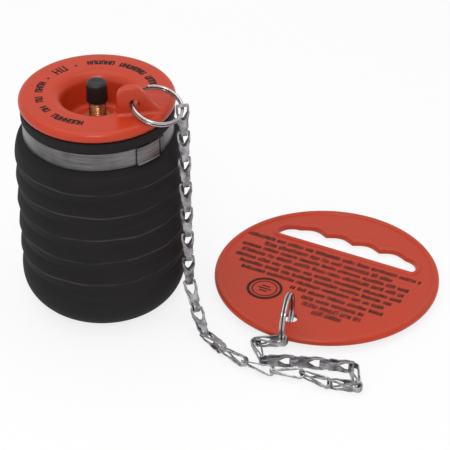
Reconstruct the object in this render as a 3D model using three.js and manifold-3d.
// Inflatable test plug for a nominal 4 inch pipe, standing on its closed end, with its chain and tag.
// Millimetres, +Z up. The origin is the centre of the plug's flat bottom and the chain runs towards +X.

import * as THREE from 'three';
import { mergeVertices } from 'three/addons/utils/BufferGeometryUtils.js';
import Module from 'manifold-3d';

const wasm = await Module();
wasm.setup();

// Driving dimensions

const CLEARANCE = 0.3; // between pieces that bear on each other

const RIB_RADIUS = 47.6; // crest of the sealing ribs
const RIB_COUNT = 6;
const RIB_PITCH = 15.3;
const RIB_DEPTH = 1.5;
const FIRST_RIB_HEIGHT = 24; // crest of the lowest rib
const BOTTOM_FILLET = 22;
const BLADDER_WALL = 5;

const NECK_RADIUS = 41.2; // rubber under the clamp band
const NECK_WALL = 3.5;
const SHOULDER_RISE = 11.5; // from the top rib's crest to the band
const LIP_RADIUS = 43;
const LIP_HEIGHT = 6.4;

const BAND_WIDTH = 10.7;
const BAND_THICKNESS = 0.8;
const BUCKLE_LENGTH = 15.7; // along the band
const BUCKLE_AZIMUTH = -47; // degrees
const BUCKLE_SHEET = 0.9;

const FLANGE_RADIUS = 43.8;
const FLANGE_THICKNESS = 6.6;
const DISH_RADIUS = 19.5; // below the rounded mouth
const DISH_ROUND = 6.5; // rounding of the mouth
const DISH_DEPTH = 19;
const COLLAR_WALL = 4;
const SPIGOT_LENGTH = 18;

const EAR_WIDTH = 19;
const EAR_HEIGHT = 16.5;
const EAR_CORNER = 6.5;
const EAR_CREST = 3.5; // flat top, before the plate slopes down to its outer end
const EAR_RUNOUT = 7; // how far the slope goes on past the plate
const EAR_THICKNESS = 5;
const EAR_HOLE_RADIUS = 2.9;
const EAR_HOLE_HEIGHT = 6.4; // above the flange
const EAR_CENTRE = [21.4, -20.6];
const EAR_HEADING = 8; // degrees, direction of the plate seen from above

const STEM_RADIUS = 4.85;
const STEM_NECK_RADIUS = 3.85;
const STEM_BORE_RADIUS = 2.7;
const STEM_FLANGE_RADIUS = 9;
const STEM_TOP_ABOVE_FLANGE = 4.4; // stem's mouth above the collar's top face
const STEM_NECK_LENGTH = 9.5;
const NUT_ACROSS_FLATS = 15;
const NUT_HEIGHT = 4;
const SEAL_THICKNESS = 2;
const CORE_LENGTH = 14;
const CORE_PIN_RADIUS = 0.7;
const CORE_BORE_RADIUS = 1.8;
const SPRING_TURNS = 3.5;
const SPRING_WIRE_RADIUS = 0.22;
const CAP_RADIUS = 6;
const CAP_HEIGHT = 12;

const RING_RADIUS = 14; // centre line of the split rings
const RING_WIRE = 1.6;
const RING_TURN_GAP = 0.1;
const RING_PLAY = 0.7; // left in the ear's hole besides the clearance
const FLOOR_GAP = 0.1; // below the ring and the tag

const LINK_COUNT = 21;
const LINK_PITCH = 17;
const LINK_SHEET = 0.8;
const LINK_EYE_WIDTH = 7.2;
const LINK_EYE_OPENING = 5.2;
const LINK_PLATE_WIDTH = 5.3;
const LINK_FOLD_WIDTH = 3.6;
const LINK_FOLD_RADIUS = 2.3; // inside
const LINK_BAR = 1.1; // crossbar along the link
const LINK_LAYER_GAP = 0.2;
const LINK_EYE_LENGTH = 4.6; // before the eye narrows
const LINK_V_RADIUS = 1;
const LINK_FOLD_LENGTH = 3; // narrow part, back from the next link's crossbars
const LINK_TAPER = 2; // from the plate's width to the fold's

const HANG_HEADING = -15; // the hanging links drift a little this way
const HANG_DRIFT = 1.2;
const LANDING_HEADING = -72;
// Heading and roll in degrees of each link that lies on the floor, in order. A roll of -90 stands on edge.
const FLOOR_LINKS = [
  [-54, -16], [-44, -31], [-28, -40], [-7, -48], [-30, -64], [-10, -80], [97, -88], [170, -84],
  [172, -78], [178, -82], [103, -95], [-14, -74],
];
const CONTACT_ANGLE = 29; // where the last link holds the lower ring, below the ring's centre

const TAG_HALF_LENGTH = 68;
const TAG_HALF_WIDTH = 66.5;
const TAG_THICKNESS = 4;
const TAG_WEB = 2.4;
const TAG_BEAD = 4.5;
const TAG_HOLE_RADIUS = 4;
const TAG_HOLE_MARGIN = 18.2; // from the tag's edge to the middle of the hole
const TAG_AXIS_HEADING = 62.8; // degrees, from the hole towards the grip
const GRIP_LENGTH = 90;
const GRIP_HEIGHT = 15;
const GRIP_OFFSET = 25.3; // straight edge of the grip opening from the tag's centre
const GRIP_FINGERS = 4;
const FINGER_DEPTH = 3.2;
const TAG_LIFT = 4; // of the edge beside the lower ring
const HOLE_FROM_RING_CENTRE = 10.6;
const EMBLEM_RADIUS = 9.9;
const EMBLEM_PLACE = [-26, -30];

// Worked out from them

const RIB_TOP = FIRST_RIB_HEIGHT + (RIB_COUNT - 1) * RIB_PITCH;
const BAND_BOTTOM = RIB_TOP + SHOULDER_RISE;
const BAND_TOP = BAND_BOTTOM + BAND_WIDTH;
const LIP_TOP = BAND_TOP + CLEARANCE + LIP_HEIGHT;
const FLANGE_BOTTOM = LIP_TOP + CLEARANCE;
const FLANGE_TOP = FLANGE_BOTTOM + FLANGE_THICKNESS;
const DISH_FLOOR = FLANGE_TOP - DISH_DEPTH;
const WEB_BOTTOM = DISH_FLOOR - COLLAR_WALL;
const BAND_INNER = NECK_RADIUS + CLEARANCE;
const BAND_OUTER = BAND_INNER + BAND_THICKNESS;
const TAG_HOLE_OFFSET = TAG_HALF_LENGTH - TAG_HOLE_MARGIN;
const RING_STANDING_HEIGHT = RING_RADIUS + RING_WIRE / 2 + FLOOR_GAP;
const LOWER_CONTACT_HEIGHT = RING_STANDING_HEIGHT - RING_RADIUS * Math.sin(THREE.MathUtils.degToRad(CONTACT_ANGLE));

const STEEL = new THREE.MeshStandardMaterial({ color: 0x9a9c9e, roughness: 0.34, metalness: 1 });
const NICKEL = new THREE.MeshStandardMaterial({ color: 0xc8cacc, roughness: 0.18, metalness: 1 });
const ZINC = new THREE.MeshStandardMaterial({ color: 0x7e7d80, roughness: 0.42, metalness: 1 });
const BRASS = new THREE.MeshStandardMaterial({ color: 0xb58a4c, roughness: 0.3, metalness: 1 });
const RUBBER = new THREE.MeshStandardMaterial({ color: 0x262425, roughness: 0.72, metalness: 0 });
const ORANGE = new THREE.MeshStandardMaterial({ color: 0xc5462f, roughness: 0.42, metalness: 0 });
const BLACK_PLASTIC = new THREE.MeshStandardMaterial({ color: 0x1b1a1a, roughness: 0.5, metalness: 0 });

const plug = new THREE.Group();
plug.name = 'inflatable_pipe_plug';

// Helpers

function radians(degrees) {
  return THREE.MathUtils.degToRad(degrees);
}

// Merges equal corners, so that a surface closes, and drops triangles without area.
function welded(geometry) {
  const bare = geometry.clone();
  for (const name of ['normal', 'uv', 'color']) bare.deleteAttribute(name);
  const merged = mergeVertices(bare, 1e-4);
  const corners = merged.index.array;
  const kept = [];
  for (let i = 0; i < corners.length; i += 3) {
    const [a, b, c] = [corners[i], corners[i + 1], corners[i + 2]];
    if (a !== b && b !== c && c !== a) kept.push(a, b, c);
  }
  merged.setIndex(kept);
  return merged;
}

function toSolid(geometry) {
  const surface = welded(geometry);
  return new wasm.Manifold(new wasm.Mesh({
    numProp: 3,
    vertProperties: new Float32Array(surface.attributes.position.array),
    triVerts: new Uint32Array(surface.index.array),
  }));
}

function toGeometry(solid) {
  const { vertProperties, triVerts } = solid.getMesh();
  const geometry = new THREE.BufferGeometry();
  geometry.setAttribute('position', new THREE.BufferAttribute(new Float32Array(vertProperties), 3));
  geometry.setIndex(new THREE.BufferAttribute(new Uint32Array(triVerts), 1));
  geometry.computeVertexNormals();
  return geometry;
}

// Turns a profile of [radius, height] corners about the Z axis. The corners run anticlockwise.
function revolved(profile, segments) {
  const points = profile.map(([radius, height]) => new THREE.Vector2(radius, height));
  return new THREE.LatheGeometry(points, segments).rotateX(Math.PI / 2);
}

// Corners of an arc in a profile, from one angle to another in degrees.
function arc(x, y, radius, from, to, steps) {
  return Array.from({ length: steps + 1 }, (_, i) => {
    const angle = radians(from + ((to - from) * i) / steps);
    return [x + radius * Math.cos(angle), y + radius * Math.sin(angle)];
  });
}

function shapeOf(corners) {
  return new THREE.Shape(corners.map(([x, y]) => new THREE.Vector2(x, y)));
}

// A flat outline made solid along +Z.
function extruded(shape, depth, curveSegments = 12) {
  return new THREE.ExtrudeGeometry(shape, { depth, bevelEnabled: false, curveSegments });
}

// A flat outline made solid along +Z with its top and bottom edges rounded.
function roundedPlate(shape, depth, edge, curveSegments = 12) {
  return new THREE.ExtrudeGeometry(shape, {
    depth: depth - 2 * edge,
    bevelThickness: edge,
    bevelSize: edge,
    bevelOffset: -edge,
    bevelSegments: 2,
    curveSegments,
  }).translate(0, 0, edge);
}

function addPiece(name, geometry, material, parent = plug) {
  const mesh = new THREE.Mesh(geometry, material);
  mesh.name = name;
  parent.add(mesh);
  return mesh;
}

// Bladder

function ribProfile() {
  const corners = [];
  const steps = 4;
  for (let rib = 0; rib < RIB_COUNT; rib += 1) {
    for (let i = rib ? 0 : steps / 2; i < steps; i += 1) {
      const height = FIRST_RIB_HEIGHT + (rib - 0.5 + i / steps) * RIB_PITCH;
      const across = (2 * i) / steps - 1;
      corners.push([RIB_RADIUS - RIB_DEPTH * across * across, height]);
    }
  }
  return corners;
}

function makeBladder() {
  const neckInner = NECK_RADIUS - NECK_WALL;
  const fillet = BOTTOM_FILLET;
  const shoulder = RIB_RADIUS - RIB_DEPTH - NECK_RADIUS;
  const shoulderFoot = RIB_TOP + RIB_PITCH / 2;
  const shoulderTop = BAND_BOTTOM - CLEARANCE;
  const inside = RIB_RADIUS - RIB_DEPTH - BLADDER_WALL;
  const profile = [
    [0, 0],
    ...arc(RIB_RADIUS - fillet, fillet, fillet, -90, 0, 7),
    ...ribProfile().slice(1),
    [RIB_RADIUS - RIB_DEPTH, shoulderFoot],
    [RIB_RADIUS - RIB_DEPTH - 0.3 * shoulder, (2 * shoulderFoot + shoulderTop) / 3],
    [NECK_RADIUS + 0.25 * shoulder, shoulderTop - 0.1],
    [NECK_RADIUS, shoulderTop],
    [NECK_RADIUS, BAND_TOP + CLEARANCE],
    [LIP_RADIUS - 0.8, BAND_TOP + CLEARANCE],
    [LIP_RADIUS, BAND_TOP + CLEARANCE + 1.2],
    [LIP_RADIUS, LIP_TOP - 1.2],
    [LIP_RADIUS - 1.2, LIP_TOP],
    [neckInner, LIP_TOP],
    [neckInner, BAND_BOTTOM - 4],
    ...arc(inside - 10, RIB_TOP - 8, 10, 40, 0, 2),
    ...arc(inside - fillet + BLADDER_WALL, fillet, fillet - BLADDER_WALL, 0, -90, 4),
    [0, BLADDER_WALL],
  ];
  addPiece('rubber_bladder', revolved(profile, 40), RUBBER);
}

// Collar

function collarBody() {
  const top = FLANGE_TOP;
  const rim = FLANGE_THICKNESS / 2;
  const spigot = NECK_RADIUS - NECK_WALL - CLEARANCE;
  const spigotBottom = FLANGE_BOTTOM - SPIGOT_LENGTH;
  const mouth = DISH_RADIUS + DISH_ROUND;
  const draft = 1.5;
  const profile = [
    [STEM_RADIUS + CLEARANCE, DISH_FLOOR],
    [STEM_RADIUS + CLEARANCE, WEB_BOTTOM],
    [DISH_RADIUS - draft + COLLAR_WALL - 2, WEB_BOTTOM],
    [DISH_RADIUS - draft + COLLAR_WALL, WEB_BOTTOM + 2],
    [DISH_RADIUS + COLLAR_WALL, FLANGE_BOTTOM],
    [spigot - COLLAR_WALL, FLANGE_BOTTOM],
    [spigot - COLLAR_WALL, spigotBottom],
    [spigot - 1, spigotBottom],
    [spigot, spigotBottom + 1],
    [spigot, FLANGE_BOTTOM],
    ...arc(FLANGE_RADIUS - rim, FLANGE_BOTTOM + rim, rim, -90, 90, 8),
    ...arc(mouth, top - DISH_ROUND, DISH_ROUND, 90, 180, 5),
    [DISH_RADIUS - draft, DISH_FLOOR + 3],
    [DISH_RADIUS - draft - 3, DISH_FLOOR],
    [STEM_RADIUS + CLEARANCE, DISH_FLOOR],
  ];
  return toSolid(revolved(profile, 40));
}

// A plate that stands on the flange, with the ring's hole through it. It is rounded at its inner end and
// slopes down to the flange at its outer end.
function ear() {
  const half = EAR_WIDTH / 2;
  const foot = -1.5;
  const crestEnd = EAR_CORNER - half + EAR_CREST;
  const end = half + EAR_RUNOUT;
  const steps = 6;
  const slope = Array.from({ length: steps + 1 }, (_, i) => [
    THREE.MathUtils.lerp(end, crestEnd, i / steps),
    1 + (EAR_HEIGHT - 1) * THREE.MathUtils.smoothstep(i / steps, 0, 1),
  ]);
  const outline = shapeOf([
    [-half, foot],
    [end, foot],
    ...slope,
    ...arc(EAR_CORNER - half, EAR_HEIGHT - EAR_CORNER, EAR_CORNER, 90, 180, 5),
  ]);
  const hole = new THREE.Path();
  hole.absarc(0, EAR_HOLE_HEIGHT, EAR_HOLE_RADIUS, 0, 2 * Math.PI, true);
  outline.holes.push(hole);
  const plate = roundedPlate(outline, EAR_THICKNESS, 0.9, 7)
    .translate(0, 0, -EAR_THICKNESS / 2)
    .rotateX(Math.PI / 2)
    .rotateZ(radians(EAR_HEADING))
    .translate(EAR_CENTRE[0], EAR_CENTRE[1], FLANGE_TOP);
  return toSolid(plate);
}

function makeCollar() {
  addPiece('collar', toGeometry(collarBody().add(ear())), ORANGE);
}

// Clamp band and buckle

// A plate bent round the neck, centred on an azimuth.
function bentPlate(inner, outer, azimuth, length, bottom, height) {
  const half = THREE.MathUtils.radToDeg(length / 2 / inner);
  const outline = shapeOf([
    ...arc(0, 0, inner, azimuth + half, azimuth - half, 6),
    ...arc(0, 0, outer, azimuth - half, azimuth + half, 6),
  ]);
  return extruded(outline, height).translate(0, 0, bottom);
}

function makeClampBand() {
  const ring = revolved([
    [BAND_INNER, BAND_BOTTOM],
    [BAND_OUTER, BAND_BOTTOM],
    [BAND_OUTER, BAND_TOP],
    [BAND_INNER, BAND_TOP],
    [BAND_INNER, BAND_BOTTOM],
  ], 72);
  const tailLength = 3.5;
  const buckleEnd = THREE.MathUtils.radToDeg(BUCKLE_LENGTH / 2 / BAND_OUTER);
  const tailAzimuth = BUCKLE_AZIMUTH + buckleEnd + THREE.MathUtils.radToDeg((tailLength / 2 + 1) / BAND_OUTER);
  const tail = bentPlate(
    BAND_OUTER - 0.3, BAND_OUTER + CLEARANCE + BUCKLE_SHEET, tailAzimuth, tailLength, BAND_BOTTOM, BAND_WIDTH,
  );
  addPiece('clamp_band', toGeometry(toSolid(ring).add(toSolid(tail))), STEEL);
}

function makeBuckle() {
  const inner = BAND_OUTER + CLEARANCE;
  const outer = inner + BUCKLE_SHEET;
  const overhang = 0.3;
  const hem = 1.6;
  const bottom = BAND_BOTTOM - overhang;
  const height = BAND_WIDTH + 2 * overhang;
  const plate = toSolid(bentPlate(inner, outer, BUCKLE_AZIMUTH, BUCKLE_LENGTH, bottom, height));
  const hems = [bottom, bottom + height - hem].map((start) => toSolid(
    bentPlate(outer - 0.2, outer + 0.6, BUCKLE_AZIMUTH, BUCKLE_LENGTH - 1, start, hem),
  ));
  addPiece('band_buckle', toGeometry(plate.add(hems[0]).add(hems[1])), STEEL);
}

// Valve

const STEM_TOP = FLANGE_TOP + STEM_TOP_ABOVE_FLANGE;
const STEM_SHOULDER = STEM_TOP - STEM_NECK_LENGTH;
const STEM_FLANGE_TOP = WEB_BOTTOM - SEAL_THICKNESS - 2 * CLEARANCE;
const CORE_TOP = STEM_TOP - 1.2;
const CORE_BOTTOM = CORE_TOP - CORE_LENGTH;

function makeStem() {
  const flangeBottom = STEM_FLANGE_TOP - 2.5;
  const profile = [
    [STEM_BORE_RADIUS, flangeBottom],
    [STEM_FLANGE_RADIUS, flangeBottom],
    [STEM_FLANGE_RADIUS, STEM_FLANGE_TOP],
    [STEM_RADIUS, STEM_FLANGE_TOP],
    [STEM_RADIUS, STEM_SHOULDER - 0.6],
    [STEM_RADIUS - 0.6, STEM_SHOULDER],
    [STEM_NECK_RADIUS, STEM_SHOULDER],
    [STEM_NECK_RADIUS, STEM_TOP - 0.5],
    [STEM_NECK_RADIUS - 0.5, STEM_TOP],
    [STEM_BORE_RADIUS, STEM_TOP],
    [STEM_BORE_RADIUS, flangeBottom],
  ];
  addPiece('valve_stem', revolved(profile, 24), BRASS);
}

function makeSeal() {
  const top = WEB_BOTTOM - CLEARANCE;
  const inner = STEM_RADIUS + CLEARANCE;
  const profile = [
    [inner, top - SEAL_THICKNESS],
    [STEM_FLANGE_RADIUS, top - SEAL_THICKNESS],
    [STEM_FLANGE_RADIUS, top],
    [inner, top],
    [inner, top - SEAL_THICKNESS],
  ];
  addPiece('valve_seal', revolved(profile, 24), RUBBER);
}

function makeNut() {
  const corner = NUT_ACROSS_FLATS / 2 / Math.cos(Math.PI / 6);
  const outline = shapeOf(arc(0, 0, corner, 0, 300, 5));
  const thread = new THREE.Path();
  thread.absarc(0, 0, STEM_RADIUS + CLEARANCE, 0, 2 * Math.PI, true);
  outline.holes.push(thread);
  const nut = roundedPlate(outline, NUT_HEIGHT, 0.5, 12).translate(0, 0, DISH_FLOOR + CLEARANCE);
  addPiece('valve_nut', nut, BRASS);
}

// The core's barrel is open at the top round the pin and closed to a guide hole at its foot.
function makeCore() {
  const outer = STEM_BORE_RADIUS - CLEARANCE;
  const guide = CORE_PIN_RADIUS + CLEARANCE;
  const floor = 2;
  const profile = [
    [guide, CORE_BOTTOM],
    [outer - 0.4, CORE_BOTTOM],
    [outer, CORE_BOTTOM + 1],
    [outer, CORE_TOP],
    [CORE_BORE_RADIUS, CORE_TOP],
    [CORE_BORE_RADIUS, CORE_BOTTOM + floor],
    [guide, CORE_BOTTOM + floor],
    [guide, CORE_BOTTOM],
  ];
  addPiece('valve_core', revolved(profile, 16), BRASS);
}

const SPRING_BOTTOM = CORE_BOTTOM + 2 + CLEARANCE;
const PIN_HEAD_BOTTOM = CORE_TOP - 3.2;
const SPRING_TOP = PIN_HEAD_BOTTOM - CLEARANCE;

function makeCorePin() {
  const head = CORE_BORE_RADIUS - CLEARANCE;
  const profile = [
    [0, CORE_BOTTOM - 2],
    [CORE_PIN_RADIUS, CORE_BOTTOM - 2],
    [CORE_PIN_RADIUS, PIN_HEAD_BOTTOM],
    [head, PIN_HEAD_BOTTOM],
    [head, PIN_HEAD_BOTTOM + 0.8],
    [CORE_PIN_RADIUS, PIN_HEAD_BOTTOM + 0.8],
    [CORE_PIN_RADIUS, CORE_TOP + 0.5],
    [0, CORE_TOP + 0.5],
  ];
  addPiece('core_pin', revolved(profile, 12), BRASS);
}

// A coil between two heights about the Z axis.
class Coil extends THREE.Curve {
  constructor(radius, bottom, top, turns) {
    super();
    Object.assign(this, { radius, bottom, top, turns });
  }

  getPoint(t, target = new THREE.Vector3()) {
    const angle = 2 * Math.PI * this.turns * t;
    const height = THREE.MathUtils.lerp(this.bottom, this.top, t);
    return target.set(this.radius * Math.cos(angle), this.radius * Math.sin(angle), height);
  }
}

function makeCoreSpring() {
  const radius = (CORE_PIN_RADIUS + CORE_BORE_RADIUS) / 2;
  const wire = shapeOf(arc(0, 0, SPRING_WIRE_RADIUS, 0, 288, 4));
  const coil = new Coil(
    radius, SPRING_BOTTOM + SPRING_WIRE_RADIUS, SPRING_TOP - SPRING_WIRE_RADIUS, SPRING_TURNS,
  );
  const steps = Math.round(SPRING_TURNS * 10);
  addPiece('core_spring', new THREE.ExtrudeGeometry(wire, { steps, extrudePath: coil }), STEEL);
}

function makeValveCap() {
  const bottom = STEM_SHOULDER + CLEARANCE;
  const top = bottom + CAP_HEIGHT;
  const inner = STEM_NECK_RADIUS + CLEARANCE;
  const profile = [
    [0, STEM_TOP + 1],
    [inner, STEM_TOP + 1],
    [inner, bottom],
    [CAP_RADIUS - 0.5, bottom],
    [CAP_RADIUS, bottom + 0.6],
    [CAP_RADIUS - 0.3, top - 2],
    ...arc(CAP_RADIUS - 1.8, top - 1.8, 1.5, 0, 90, 3),
    [0, top],
  ];
  addPiece('valve_cap', revolved(profile, 24), BLACK_PLASTIC);
}

// Split rings

const JOG_MIDDLE = 340;

// A wire wound almost twice: one flat turn, a short jog across, and a second flat turn beside it.
class SplitRing extends THREE.Curve {
  getPoint(t, target = new THREE.Vector3()) {
    const turn = 675;
    const angle = turn * t;
    const side = (RING_WIRE + RING_TURN_GAP) / 2;
    const across = side * (2 * THREE.MathUtils.smoothstep(angle, JOG_MIDDLE - 18, JOG_MIDDLE + 18) - 1);
    const around = radians(angle);
    return target.set(RING_RADIUS * Math.cos(around), RING_RADIUS * Math.sin(around), across);
  }
}

// The jog between the two turns comes at an angle in degrees.
function splitRing(jog) {
  const wire = shapeOf(arc(0, 0, RING_WIRE / 2, 0, 300, 5));
  return new THREE.ExtrudeGeometry(wire, { steps: 50, extrudePath: new SplitRing() }).rotateZ(radians(jog - JOG_MIDDLE));
}

// Frame of the upper ring: X from the ear's hole to the outer end, Y along the wire there.
const UPPER_RING_TURN = new THREE.Euler(radians(14), radians(12.3), radians(3.8), 'ZYX');

function upperRingFrame() {
  const turn = new THREE.Matrix4().makeRotationFromEuler(UPPER_RING_TURN);
  const across = new THREE.Vector3(1, 0, 0).transformDirection(turn);
  const inHole = new THREE.Vector3(EAR_CENTRE[0], EAR_CENTRE[1], FLANGE_TOP + EAR_HOLE_HEIGHT);
  const slack = EAR_HOLE_RADIUS - RING_WIRE / 2 - CLEARANCE - RING_PLAY;
  inHole.addScaledVector(across, -slack);
  const centre = inHole.clone().addScaledVector(across, RING_RADIUS);
  return { centre, across, turn };
}

function makeUpperRing() {
  const { centre } = upperRingFrame();
  const ring = addPiece('upper_split_ring', splitRing(140), NICKEL);
  ring.rotation.copy(UPPER_RING_TURN);
  ring.position.copy(centre);
}

// Chain

// Side view of a link: X along it from its crossbars, Y across the two layers of the folded strip.
function linkSide() {
  const start = LINK_LAYER_GAP / 2;
  const inner = LINK_FOLD_RADIUS;
  const outer = inner + LINK_SHEET;
  const swing = Math.hypot(LINK_BAR / 2, start + LINK_SHEET);
  const centre = LINK_PITCH + swing + CLEARANCE - inner;
  const lean = THREE.MathUtils.radToDeg(Math.atan((inner - start) / centre));
  const back = LINK_BAR / 2;
  return shapeOf([
    [-back, -start],
    [-back, -start - LINK_SHEET],
    [back, -start - LINK_SHEET],
    ...arc(centre, 0, outer, lean - 90, 90 - lean, 6),
    [back, start + LINK_SHEET],
    [-back, start + LINK_SHEET],
    [-back, start],
    [back, start],
    ...arc(centre, 0, inner, 90 - lean, lean - 90, 6),
    [back, -start],
  ]);
}

// Face view of a link: the eye behind the crossbar narrows to a V, then a plate, then the narrow fold.
function linkFace() {
  const bar = LINK_BAR / 2;
  const eye = LINK_EYE_WIDTH / 2;
  const opening = LINK_EYE_OPENING / 2;
  const plate = LINK_PLATE_WIDTH / 2;
  const fold = LINK_FOLD_WIDTH / 2;
  const end = 1.25 * LINK_PITCH;
  const vEnd = 0.45 * LINK_PITCH;
  const foldStart = LINK_PITCH - LINK_FOLD_LENGTH;
  const half = [
    [-bar - 0.01, eye - 0.5],
    [0, eye],
    [LINK_EYE_LENGTH, eye],
    [vEnd + LINK_V_RADIUS, plate],
    [foldStart - LINK_TAPER, plate],
    [foldStart, fold],
    [end, fold],
  ];
  const outline = shapeOf([...half.map(([x, y]) => [x, -y]), ...half.reverse()]);
  const eyeHalf = [[bar, opening], [LINK_EYE_LENGTH, opening]];
  const v = arc(vEnd, 0, LINK_V_RADIUS, 60, -60, 4);
  outline.holes.push(new THREE.Path([
    ...eyeHalf,
    ...v,
    ...eyeHalf.reverse().map(([x, y]) => [x, -y]),
  ].map(([x, y]) => new THREE.Vector2(x, y))));
  return outline;
}

function linkGeometry() {
  const height = 2 * (LINK_FOLD_RADIUS + LINK_SHEET) + 1;
  const side = toSolid(
    extruded(linkSide(), LINK_EYE_WIDTH + 1).translate(0, 0, -(LINK_EYE_WIDTH + 1) / 2).rotateX(Math.PI / 2),
  );
  const face = toSolid(extruded(linkFace(), height).translate(0, 0, -height / 2));
  return toGeometry(side.intersect(face));
}

const BAR_SWING = Math.hypot(LINK_BAR / 2, LINK_LAYER_GAP / 2 + LINK_SHEET);
const FOLD_WALL = LINK_PITCH + BAR_SWING + CLEARANCE; // inside of the fold, from a link's crossbars
const FLOOR_HEIGHT = LINK_EYE_WIDTH / 2 + CLEARANCE; // middle of a link that lies on its edge

// A unit direction from its compass heading and its dip below level, in degrees.
function direction(heading, dip = 0) {
  const level = Math.cos(radians(dip));
  return new THREE.Vector3(
    level * Math.cos(radians(heading)), level * Math.sin(radians(heading)), -Math.sin(radians(dip)),
  );
}

// Links hang from the upper ring, two of them land, and the rest lie on the floor as FLOOR_LINKS says.
function linkDirections(start) {
  const drop = start.z - FLOOR_HEIGHT;
  const hanging = Math.floor((drop - LINK_PITCH / 2) / LINK_PITCH);
  const rest = drop / LINK_PITCH - hanging;
  const headings = [];
  for (let i = 0; i < hanging; i += 1) headings.push([HANG_HEADING, 90 - HANG_DRIFT, 0]);
  for (const share of [0.62, 0.38]) {
    headings.push([LANDING_HEADING, THREE.MathUtils.radToDeg(Math.asin(share * rest)), -2]);
  }
  const lying = FLOOR_LINKS.slice(-(LINK_COUNT - headings.length));
  for (const [heading, roll] of lying) headings.push([heading, 0, roll]);
  headings.at(-1)[1] = -THREE.MathUtils.radToDeg(Math.asin((LOWER_CONTACT_HEIGHT - FLOOR_HEIGHT) / LINK_PITCH));
  return headings;
}

// The crossbar's direction of a link, turned about the chain by its roll.
function barDirection(along, roll) {
  const level = new THREE.Vector3(-along.y, along.x, 0);
  if (Math.hypot(along.x, along.y) < 0.5) level.set(1, 0.2, 0);
  level.addScaledVector(along, -level.dot(along)).normalize();
  return level.applyAxisAngle(along, radians(roll));
}

function chainLinks() {
  const { centre, across } = upperRingFrame();
  const start = centre.clone().addScaledVector(across, RING_RADIUS);
  start.z += RING_WIRE + RING_TURN_GAP / 2 + CLEARANCE + LINK_BAR / 2;
  return linkDirections(start).map(([heading, dip, roll]) => {
    const along = direction(heading, dip);
    const link = { start: start.clone(), along, bar: barDirection(along, roll), heading };
    start.addScaledVector(along, LINK_PITCH);
    return link;
  });
}

const geometryOfLink = linkGeometry();

function makeChain() {
  chainLinks().forEach(({ start, along, bar }, i) => {
    const link = addPiece(`chain_link_${String(i + 1).padStart(2, '0')}`, geometryOfLink, ZINC);
    const face = along.clone().cross(bar);
    link.quaternion.setFromRotationMatrix(new THREE.Matrix4().makeBasis(along, bar, face));
    link.position.copy(start);
  });
}

// Frame of the lower ring, which stands on the floor: X towards the last link, Y up.
function lowerRingFrame() {
  const last = chainLinks().at(-1);
  const arcCentre = FOLD_WALL - LINK_FOLD_RADIUS;
  const inFold = arcCentre + Math.sqrt(LINK_FOLD_RADIUS ** 2 - RING_WIRE ** 2) - RING_WIRE - CLEARANCE;
  const contact = last.start.clone().addScaledVector(last.along, inFold);
  const outward = direction(last.heading - 90);
  const centre = contact.clone().addScaledVector(outward, -RING_RADIUS * Math.cos(radians(CONTACT_ANGLE)));
  centre.z = RING_STANDING_HEIGHT;
  return { centre, outward };
}

function makeLowerRing() {
  const { centre, outward } = lowerRingFrame();
  const up = new THREE.Vector3(0, 0, 1);
  const ring = addPiece('lower_split_ring', splitRing(-90), NICKEL);
  ring.quaternion.setFromRotationMatrix(
    new THREE.Matrix4().makeBasis(outward, up, outward.clone().cross(up)),
  );
  ring.position.copy(centre);
}

// Tag

function ellipse(halfWidth, halfLength) {
  const outline = new THREE.Shape();
  outline.absellipse(0, 0, halfWidth, halfLength, 0, 2 * Math.PI, false);
  return outline;
}

// The grip opening, or its outline grown by a margin: one straight side and one with finger hollows.
function gripOutline(margin) {
  const half = GRIP_LENGTH / 2;
  const base = GRIP_OFFSET + GRIP_HEIGHT - FINGER_DEPTH;
  const small = 2;
  const large = base - GRIP_OFFSET - small;
  const fingers = [];
  const pitch = (GRIP_LENGTH - 2 * large) / GRIP_FINGERS;
  const steps = 4;
  for (let i = 1; i < GRIP_FINGERS * steps; i += 1) {
    const across = ((2 * i) / steps) % 2 - 1;
    const x = half - large - (i * pitch) / steps;
    fingers.push([x, base + margin + FINGER_DEPTH * (1 - across * across)]);
  }
  return [
    ...arc(half - small, GRIP_OFFSET + small, small + margin, -90, 0, 3),
    ...arc(half - large, base - large, large + margin, 0, 90, 5),
    ...fingers,
    ...arc(large - half, base - large, large + margin, 90, 180, 5),
    ...arc(small - half, GRIP_OFFSET + small, small + margin, 180, 270, 3),
  ];
}

function cutOut(outline, corners) {
  outline.holes.push(new THREE.Path(corners.map(([x, y]) => new THREE.Vector2(x, y))));
  return outline;
}

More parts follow.
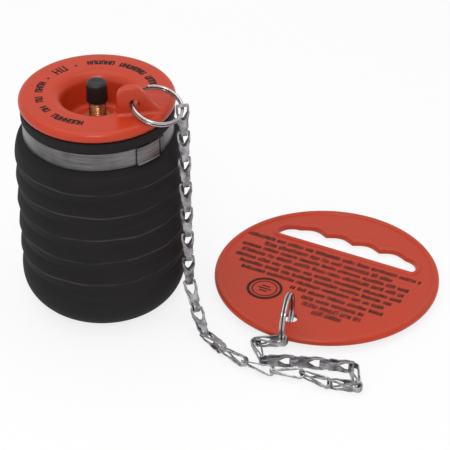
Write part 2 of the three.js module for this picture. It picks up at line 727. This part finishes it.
function tagGeometry() {
  const rim = ellipse(TAG_HALF_WIDTH, TAG_HALF_LENGTH);
  const rimHole = new THREE.Path();
  rimHole.absellipse(0, 0, TAG_HALF_WIDTH - TAG_BEAD, TAG_HALF_LENGTH - TAG_BEAD, 0, 2 * Math.PI, true);
  rim.holes.push(rimHole);
  const web = ellipse(TAG_HALF_WIDTH - TAG_BEAD / 2, TAG_HALF_LENGTH - TAG_BEAD / 2);
  cutOut(web, gripOutline(0.5));
  const hole = new THREE.Path();
  hole.absarc(0, -TAG_HOLE_OFFSET, TAG_HOLE_RADIUS, 0, 2 * Math.PI, true);
  web.holes.push(hole);
  const grip = cutOut(shapeOf(gripOutline(TAG_BEAD - 1)), gripOutline(0));
  const emblem = new THREE.Shape();
  emblem.absarc(EMBLEM_PLACE[0], EMBLEM_PLACE[1], EMBLEM_RADIUS, 0, 2 * Math.PI, false);
  const emblemHole = new THREE.Path();
  emblemHole.absarc(EMBLEM_PLACE[0], EMBLEM_PLACE[1], EMBLEM_RADIUS - 1.2, 0, 2 * Math.PI, true);
  emblem.holes.push(emblemHole);
  const webFoot = (TAG_THICKNESS - TAG_WEB) / 2;
  return toGeometry(
    toSolid(roundedPlate(rim, TAG_THICKNESS, 1.2, 24))
      .add(toSolid(extruded(web, TAG_WEB, 24).translate(0, 0, webFoot)))
      .add(toSolid(roundedPlate(grip, TAG_THICKNESS, 1)))
      .add(toSolid(extruded(emblem, TAG_WEB + 0.5, 12).translate(0, 0, webFoot))),
  );
}

// The tag leans on the lower ring's wire at its hole and lies on the floor at its far edge.
function makeTag() {
  const { centre, outward } = lowerRingFrame();
  const hole = centre.clone().addScaledVector(outward, -HOLE_FROM_RING_CENTRE);
  const tilt = Math.asin(TAG_LIFT / (2 * TAG_HALF_LENGTH));
  const tag = addPiece('tag', tagGeometry(), ORANGE);
  const axis = direction(TAG_AXIS_HEADING);
  tag.rotation.set(-tilt, 0, radians(TAG_AXIS_HEADING - 90), 'ZYX');
  tag.position.set(
    hole.x + TAG_HOLE_OFFSET * axis.x, hole.y + TAG_HOLE_OFFSET * axis.y, TAG_LIFT / 2 + FLOOR_GAP,
  );
}

makeBladder();
makeCollar();
makeClampBand();
makeBuckle();
makeStem();
makeSeal();
makeNut();
makeCore();
makeCorePin();
makeCoreSpring();
makeValveCap();
makeUpperRing();
makeChain();
makeLowerRing();
makeTag();

export default plug;
